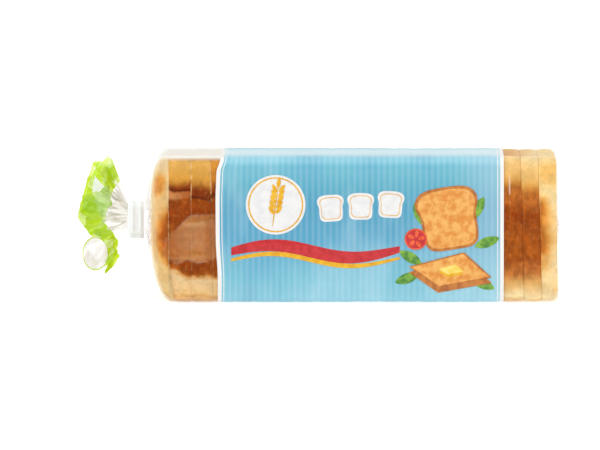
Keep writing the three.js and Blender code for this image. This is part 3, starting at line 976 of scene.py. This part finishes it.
def print_the_mouth(mouth):
    """Stores how far each point lies inside the fields of the print, and where folds overlap."""
    unwrapped = mouth.data.uv_layers["film"].data
    flat = {corner.vertex_index: tuple(unwrapped[corner.index].uv) for corner in mouth.data.loops}
    strip_edge = heel_tip - NECK_START - NECK_LENGTH
    middle_x, middle_z, half_width, half_height = WHITE_PATCH
    values = []
    for vertex in mouth.data.vertices:
        x, z = 1000 * (vertex.co.x - strip_edge), 1000 * vertex.co.z
        ragged = 0.9 * noise.noise(Vector((x * 0.35, z * 0.35, 2.0)))
        shift = 1.6 if vertex.co.y > 0 else 0  # the back layer's print lies a little aside
        gap = inside_by(CLEAR_GAP, x, z)
        green = min(inside_by(GREEN_FIELD, x + shift, z - shift), -gap) + ragged
        thin = inside_by(THIN_GREEN, x + shift, z - shift) + 2 * ragged
        patch = half_width * (1 - math.hypot((x - middle_x) / half_width, (z - middle_z) / half_height))
        out, level = flat[vertex.index]
        values.append((green, thin, gap, patch, fold_height(OVERLAPS, level, out)))
    store(mouth, MOUTH_VALUES, values)


def mouth_material():
    """Film with an ink that light comes through, with painted light and white painted highlights on its
    facets. Near the strip the folds of the clear film carry painted grey shade and white painted highlights.
    """
    material, tree = new_material("green print on the mouth")
    normal, gloss = film_look(tree, 0.5)[:2]
    unwrapped, out, level = whereabouts(tree, "UV")[:3]
    green_by, thin_by, gap_by, patch_by, overlap = stored(tree, *MOUTH_VALUES)
    folds = clouds(unwrapped, (3.2, 20.0, 1.0), 3.0, distortion=0.5)
    # Painted light: some facets get a lighter lime, and some a white painted highlight.
    painted_facet_light = place(tree, "ShaderNodeTexVoronoi", {
        "Vector": stretched(unwrapped, (6.5, 15.0, 1.0)), "Scale": 1.0}).outputs["Color"]
    painted_facet_light = place(tree, "ShaderNodeSeparateColor", {0: painted_facet_light}).outputs

    patch = fade(patch_by, -0.1, 0.1)
    patch_rim = times(fade(patch_by, -0.75, -0.60), fade(patch_by, 0.0, -0.1), 0.8)
    green = reckon("MAXIMUM", fade(green_by, -0.12, 0.12), patch_rim)
    thin = fade(thin_by, -1.2, 1.2)
    in_gap = fade(gap_by, -0.5, 0.5)
    ink = blend(fade(overlap, -0.20, 0.40), paint(192, 224, 10), paint(162, 208, 22))
    ink = coated(
        ink, (fade(painted_facet_light[1], 0.55, 0.75, 0.0, 0.45), 204, 240, 20), (thin, 174, 208, 118),
        (fade(green_by, 0.9, 0.2, 0.0, 0.5), 150, 206, 0),
        (fade(painted_facet_light[0], 0.66, 0.78, 0.0, 0.50), 244, 252, 214), (patch, 250, 250, 248))
    # Painted shade and highlight: the clear folds near the strip are grey in streaks and white between them.
    film = coated(paint(192, 186, 162), (fade(folds, 0.40, 0.58), 250, 249, 242), (in_gap, 196, 214, 168))
    colour = blend(reckon("MAXIMUM", green, patch), film, ink)
    tint = blend(green, (1, 1, 1, 1), blend(thin, paint(222, 242, 18), paint(216, 236, 168)))

    bare = times(fade(plus(out, folds, -0.5), 0.56, 0.20, 0.02, 0.62), fade(level, 0.82, 0.50, 0.2, 1.0),
                 fade(level, 0.02, 0.22, 0.3, 1.0))
    bare = plus(bare, times(in_gap, 0.30))
    cover = reckon("MAXIMUM", times(green, fade(thin, 0.0, 1.0, 0.66, 0.46)), times(patch, 0.8))
    cover = plus(reckon("MAXIMUM", cover, bare), times(gloss, 0.4))
    cover = place(tree, "ShaderNodeClamp", {"Value": cover}).outputs[0]
    skin = place(tree, "ShaderNodeBsdfPrincipled", {
        "Base Color": colour, "Roughness": 0.16, "IOR": 1.7, "Normal": normal})
    through = place(tree, "ShaderNodeBsdfTransparent", {"Color": tint})
    both = place(tree, "ShaderNodeMixShader", {0: cover, 1: through.outputs[0], 2: skin.outputs[0]})
    place(tree, "ShaderNodeOutputMaterial", {"Surface": both.outputs[0]})
    return material


bag_mouth = part_film("bag_mouth", MOUTH, mouth_material())
print_the_mouth(bag_mouth)
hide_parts("bag")
bpy.data.objects.remove(film_skin)


# The closure. A white plastic strip with two wires in it is folded round the neck, and its ends are
# pressed together below. Its shape is the frame's own.
def closure_material():
    material, tree = new_material("white strip")
    lines = clouds(whereabouts(tree)[0], (900, 60, 60))
    colour = colour_steps(lines, (0.3, 236, 248, 252), (0.7, 244, 254, 255))
    return finish_material(material, {
        "Base Color": colour, "Roughness": 0.42, "Normal": bump(lines, 0.3, 0.0002)})


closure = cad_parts["closure_strip"]
closure.data.materials.clear()
closure.data.materials.append(closure_material())


# The end. The film is folded flat over the right heel as on a parcel: two side tucks under an upper and
# a lower flap, and the welded seam of the bag's bottom laid down across them.
def lay_on_film(piece, axis, toward, lift):
    """Lays a flat piece on the film by moving it along an axis, and leaves it a little proud."""
    select_only(piece)
    wrap = piece.modifiers.new("lay", "SHRINKWRAP")
    wrap.target = film_form
    wrap.wrap_method = "PROJECT"
    wrap.wrap_mode = "ABOVE_SURFACE"
    wrap.use_project_x, wrap.use_project_y, wrap.use_project_z = (axis == each for each in "XYZ")
    wrap.use_positive_direction, wrap.use_negative_direction = toward > 0, toward < 0
    wrap.offset = lift
    bpy.ops.object.modifier_apply(modifier=wrap.name)


def between_corners(corners, steps):
    """A closed outline with more points on each of its straight edges."""
    return [tuple(Vector(a).lerp(Vector(b), step / steps)) for a, b in zip(corners, corners[1:] + corners[:1])
            for step in range(steps)]


def add_patch(outline, cuts_inside):
    """A flat patch with the given corners, seen with its outline running against the clock."""
    patch = new_piece("patch", bpy.ops.mesh.primitive_circle_add,
                      vertices=len(outline), fill_type="TRIFAN")
    rim = [vertex for vertex in patch.data.vertices if vertex.co.length > 0.5]
    hub = next(vertex for vertex in patch.data.vertices if vertex.co.length < 0.5)
    rim.sort(key=lambda vertex: math.atan2(vertex.co.y, vertex.co.x))
    for vertex, corner in zip(rim, outline):
        vertex.co = corner
    hub.co = sum((Vector(corner) for corner in outline), Vector()) / len(outline)
    bpy.ops.object.mode_set(mode="EDIT")
    bpy.ops.mesh.select_all(action="SELECT")
    bpy.ops.mesh.subdivide(number_cuts=cuts_inside)
    bpy.ops.object.mode_set(mode="OBJECT")
    bpy.ops.object.shade_smooth()
    return patch


def join_pieces(name, pieces):
    select_only(*pieces)
    bpy.ops.object.join()
    joined = bpy.context.object
    joined.name = joined.data.name = name
    return joined


END_FLAPS = (  # across the end and over the floor, in millimetres, with how far each lies out
    (((-44.5, 15), (-5, 49), (-44.5, 85)), 0.00012),
    (((44.5, 85), (5, 49), (44.5, 15)), 0.00012),
    (((-41, 91.5), (-15, 47.5), (15, 46.5), (41, 91.5)), 0.00028),
    (((-35, 4.5), (35, 4.5), (14, 50), (-14, 51)), 0.00044),
)
SEAM = (((-38.5, 43.0), (38.5, 44.2), (38.5, 51.4), (-38.5, 50.2)), 0.0007)
PAST_THE_END = 0.18  # where a flap is made before it is laid on the film


def add_end_folds():
    pieces = []
    for outline, lift in (*END_FLAPS, SEAM):
        corners = [(PAST_THE_END, y / 1000, z / 1000) for y, z in outline]
        flap = add_patch(between_corners(corners, 14), 9)
        store(flap, ("edge_by",), [(inside_by(outline, 1000 * vertex.co.y, 1000 * vertex.co.z),)
                                   for vertex in flap.data.vertices])
        lay_on_film(flap, "X", -1, lift)
        pieces.append(flap)
    for vertex in pieces[-1].data.vertices:  # the weld's ribs, and its loose lower edge
        above = 1000 * vertex.co.z - 43.6 - 0.015 * 1000 * vertex.co.y
        vertex.co.x += 0.00012 * math.sin(above * 5.2) + 0.0007 * max(0, 1 - above / 3) ** 2
    return join_pieces("end_folds", pieces)


def folded_film_material():
    """The same clear film in two and three layers, which makes it milky, with painted highlights along the
    flaps' edges.
    """
    material, tree = new_material("folded clear film")
    normal, gloss, haze = film_look(tree, 0.6)
    edge_by = stored(tree, "edge_by")[0]
    # Painted highlight: a thin bright line along each flap's edge.
    edge = times(fade(edge_by, 1.6, 0.1), fade(haze, 0.0, 0.8, 0.08, 0.34))
    cover = plus(times(gloss, 0.5), fade(haze, 0.0, 1.0, 0.09, 0.22), edge)
    return finish_material(material, {
        "Base Color": paint(248, 248, 244), "Roughness": 0.14, "IOR": 2.0, "Alpha": cover, "Normal": normal})


end_folds = add_end_folds()
end_folds.data.materials.append(folded_film_material())
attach(end_folds, "root")
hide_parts("bag")


# The pictures. On its front and its back the band carries simple shapes in flat inks: a white roundel
# with an ear of wheat, three white slices, a red and gold ribbon, and toast served with butter, tomato
# and leaves. Each ink lies on the film as a layer of its own.
INKS = {
    "white": (paint(226, 226, 226), paint(236, 235, 234)),
    "gold": (paint(222, 158, 8), paint(238, 184, 30)),
    "red": (paint(188, 26, 34), paint(206, 44, 48)),
    "green": (paint(66, 128, 44), paint(132, 180, 62)),
    "crust": (paint(168, 92, 30), paint(204, 126, 50)),
    "toast": (paint(222, 138, 48), paint(240, 180, 96)),
    "butter": (paint(244, 200, 60), paint(252, 222, 118)),
    "tomato": (paint(222, 70, 32), paint(238, 106, 54)),
}
LAYER = 0.00006  # how far each layer of ink lies over the one under it, so that neither shows through
printed = {ink: [] for ink in INKS}
print_middle = heel_tip + (PRINT_START + PRINT_END) / 2
OFF_THE_LOAF = 0.056  # where a shape is made before it is laid on the film


def print_shape(ink, layer, make):
    """Lays a shape on the front of the band and the same on its back. The shape is made flat, in
    millimetres from the heel's tip and over the floor."""
    for side in (-1, 1):
        shape = make()
        for vertex in shape.data.vertices:
            x, y, z = vertex.co / 1000
            x += heel_tip
            vertex.co = (x if side < 0 else 2 * print_middle - x, side * OFF_THE_LOAF, z)
        lay_on_film(shape, "Y", -side, 0.0001 + layer * LAYER)
        printed[ink].append(shape)


def print_patch(ink, outline, layer, cuts_inside=6):
    """One field of ink."""
    print_shape(ink, layer, lambda: add_patch([(x, 0, z) for x, z in outline], cuts_inside))


def turned(points, degrees, middle):
    """Points turned about the origin against the clock, and moved to a middle."""
    c, s = math.cos(math.radians(degrees)), math.sin(math.radians(degrees))
    return [(middle[0] + x * c - z * s, middle[1] + x * s + z * c) for x, z in points]


def oval(half_width, half_height, points=28, pointed=1.0):
    """An oval. Where pointed is more than 1 its two ends are drawn to points, as a leaf's are."""
    corners = []
    for step in range(points):
        angle = 2 * math.pi * step / points
        across = math.copysign(abs(math.sin(angle)) ** pointed, math.sin(angle))
        corners.append((half_width * math.cos(angle), half_height * across))
    return corners


def slice_outline(size, inset=0.0):
    """The outline of a slice of bread: a square foot, and a wider rounded top over a slight waist."""
    half = size / 2 - inset
    corners = []
    for step in range(48):
        angle = 2 * math.pi * (step + 0.5) / 48
        x, z = math.cos(angle), math.sin(angle)
        squared = (abs(x) ** 5 + abs(z) ** 5) ** -0.2
        x, z = x * squared, z * squared
        waist = 0.90 if z < 0.18 else 0.90 + 0.15 * math.sin(math.pi * min(1, (z - 0.18) / 0.95)) ** 0.7
        corners.append((x * waist * half, (z + (0.06 * (1 - x * x) if z > 0.6 else 0)) * half))
    return corners


def add_strip(first, second, cuts_along, cuts_across):
    """A strip between two lines with as many points. The cuts along are for each step of the lines."""
    steps = len(first) - 1
    strip = new_piece("strip", bpy.ops.mesh.primitive_grid_add,
                      x_subdivisions=cuts_along * steps, y_subdivisions=cuts_across, size=1)
    for vertex in strip.data.vertices:
        along, share = (vertex.co.x + 0.5) * steps, vertex.co.y + 0.5
        step = min(steps - 1, int(along + 1e-4))
        low = Vector(first[step]).lerp(Vector(first[step + 1]), along - step)
        high = Vector(second[step]).lerp(Vector(second[step + 1]), along - step)
        x, z = low.lerp(high, share)
        vertex.co = (x, 0, z)
    bpy.ops.object.shade_smooth()
    return strip


def print_ribbon(ink, start, end, middle, thick, swing, layer):
    """A waving ribbon from one place along the band to another."""
    lower, upper = [], []
    for step in range(31):
        share = step / 30
        x, z = start + (end - start) * share, middle + swing * math.sin(2.1 * math.pi * share)
        half = thick / 2 * math.sin(math.pi * (0.12 + 0.80 * share)) ** 0.5
        lower.append((x, z - half))
        upper.append((x, z + half))
    print_shape(ink, layer, lambda: add_strip(lower, upper, 2, 4))


def print_line(ink, outer, inner, layer):
    """A closed line between two outlines with as many corners."""
    print_shape(ink, layer, lambda: add_strip(outer + outer[:1], inner + inner[:1], 3, 1))


# The roundel and its ear of wheat.
ROUNDEL = (82.0, 64.5)
print_patch("white", turned(oval(19.5, 19.5, 48), 0, ROUNDEL), 0, 15)
print_line("gold", *(turned(oval(radius, radius, 48), 0, ROUNDEL) for radius in (18.0, 17.1)), 1)
print_patch("gold", turned(oval(0.45, 13.5, 12), -8, (ROUNDEL[0] - 0.3, ROUNDEL[1] - 1.5)), 1, 9)
for pair in range(5):
    for side in (-1, 1):
        middle = (ROUNDEL[0] + side * 2.4 + 0.14 * (pair * 3.9 - 3), ROUNDEL[1] - 3.4 + pair * 3.5)
        print_patch("gold", turned(oval(3.2, 1.35, 14, 1.5), 90 - side * 34 - 8, middle), 2, 4)
print_patch("gold", turned(oval(3.6, 1.4, 14, 1.5), 82, (ROUNDEL[0] + 2.0, ROUNDEL[1] + 14.2)), 2, 4)

# Three white slices in a row, each with a thin gold line inside its crust.
for number in range(3):
    middle, angle = (118.0 + 19.5 * number, 62.0 + 1.2 * number), 4 - 4 * number
    print_patch("white", turned(slice_outline(17.0), angle, middle), 0, 8)
    print_line("gold", *(turned(slice_outline(17.0, inset), angle, middle) for inset in (1.5, 1.95)), 1)

# The ribbon.
print_ribbon("red", 53.0, 163.0, 34.0, 8.5, 4.0, 0)
print_ribbon("gold", 53.0, 163.0, 28.4, 3.2, 4.0, 0)

# The toast, its butter, the tomato and the leaves.
for angle, middle in ((150, (170.0, 30.0)), (115, (176.0, 58.0)), (62, (214.0, 62.0)), (20, (220.0, 40.0)),
                      (200, (168.0, 16.5)), (-24, (217.0, 13.0))):
    print_patch("green", turned(oval(8.5, 3.4, 20, 1.6), angle, middle), 0, 4)
standing = [turned(slice_outline(40.0, inset), 9, (195.0, 55.0)) for inset in (0.0, 0.3, 1.7)]
print_patch("toast", standing[1], 1, 15)
print_line("crust", standing[0], standing[2], 2)
lying = between_corners([(169.0, 24.0), (188.0, 10.5), (223.0, 17.0), (205.0, 33.5)], 8)
print_patch("crust", [(x, z - 3.6) for x, z in lying], 3, 12)
print_patch("toast", lying, 4, 12)
print_line("crust", lying, [(196.2 + (x - 196.2) * 0.93, 21.3 + (z - 21.3) * 0.91) for x, z in lying], 5)
pat = between_corners([(188.0, 22.5), (194.5, 18.8), (205.0, 21.0), (199.0, 25.6)], 4)
print_patch("gold", [(x, z - 1.8) for x, z in pat], 5, 7)
print_patch("butter", pat, 6, 7)
TOMATO = (173.5, 42.0)
rim, flesh = turned(oval(7.4, 7.0), 0, TOMATO), turned(oval(6.5, 6.1), 0, TOMATO)
print_patch("red", rim, 3, 8)
print_line("tomato", rim, flesh, 4)
for number in range(5):
    angle = 72 * number + 10
    print_patch("tomato", turned(oval(2.3, 1.3, 12), angle, turned([(3.6, 0)], angle, TOMATO)[0]), 4, 3)


def ink_material(ink, dark, light):
    material, tree = new_material(f"{ink} ink")
    mottle = clouds(whereabouts(tree)[0], 190.0, 4.0, 0.65)
    return inked_film(material, blend(fade(mottle, 0.36, 0.62), dark, light))


for ink, patches in printed.items():
    layer = join_pieces(f"print_{ink}", patches)
    layer.data.materials.append(ink_material(ink, *INKS[ink]))
    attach(layer, "root")
    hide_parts("bag")
bpy.data.objects.remove(film_form)


# The studio: a pale floor, even pale surroundings that are darker in front, and three soft lamps.
def add_lamp(name, location, size, watts):
    bpy.ops.object.light_add(type="AREA", location=location)
    lamp = bpy.context.object
    lamp.name = name
    lamp.data.shape = "RECTANGLE"
    lamp.data.size, lamp.data.size_y = size
    lamp.data.energy = watts
    lamp.rotation_euler = (Vector((0, 0, 0.05)) - Vector(location)).to_track_quat("-Z", "Y").to_euler()


bpy.ops.object.light_add(type="SUN", rotation=(math.radians(28), math.radians(-14), 0))
bpy.context.object.name = "lamp_sky"
bpy.context.object.data.energy = 0.95
bpy.context.object.data.angle = math.radians(60)
add_lamp("lamp_left", (-1.5, -0.5, 0.6), (0.5, 1.0), 6)
add_lamp("lamp_right", (1.5, -0.5, 0.6), (0.5, 1.0), 5)

floor = new_piece("floor", bpy.ops.mesh.primitive_plane_add, size=40)
floor.data.materials.append(finish_material(new_material("pale floor")[0], {
    "Base Color": (0.6, 0.6, 0.6, 1), "Roughness": 0.9, "Specular IOR Level": 0.2,
    "Emission Color": (1, 1, 1, 1), "Emission Strength": 0.58}))  # a table lit from within

world = bpy.data.worlds.new("studio")
world.use_nodes = True
sky = world.node_tree
sky.nodes.clear()
front_dim = fade(whereabouts(sky, "Generated")[2], -0.3, -0.95, 0.80, 0.32)
seen = sky.nodes.new("ShaderNodeLightPath").outputs["Is Camera Ray"]
strength = reckon("MAXIMUM", front_dim, seen)
glow = place(sky, "ShaderNodeBackground", {"Color": (1, 1, 1, 1), "Strength": strength})
place(sky, "ShaderNodeOutputWorld", {"Surface": glow.outputs[0]})
bpy.context.scene.world = world
bpy.context.scene.view_settings.view_transform = "Standard"
bpy.context.scene.cycles.transparent_max_bounces = 24
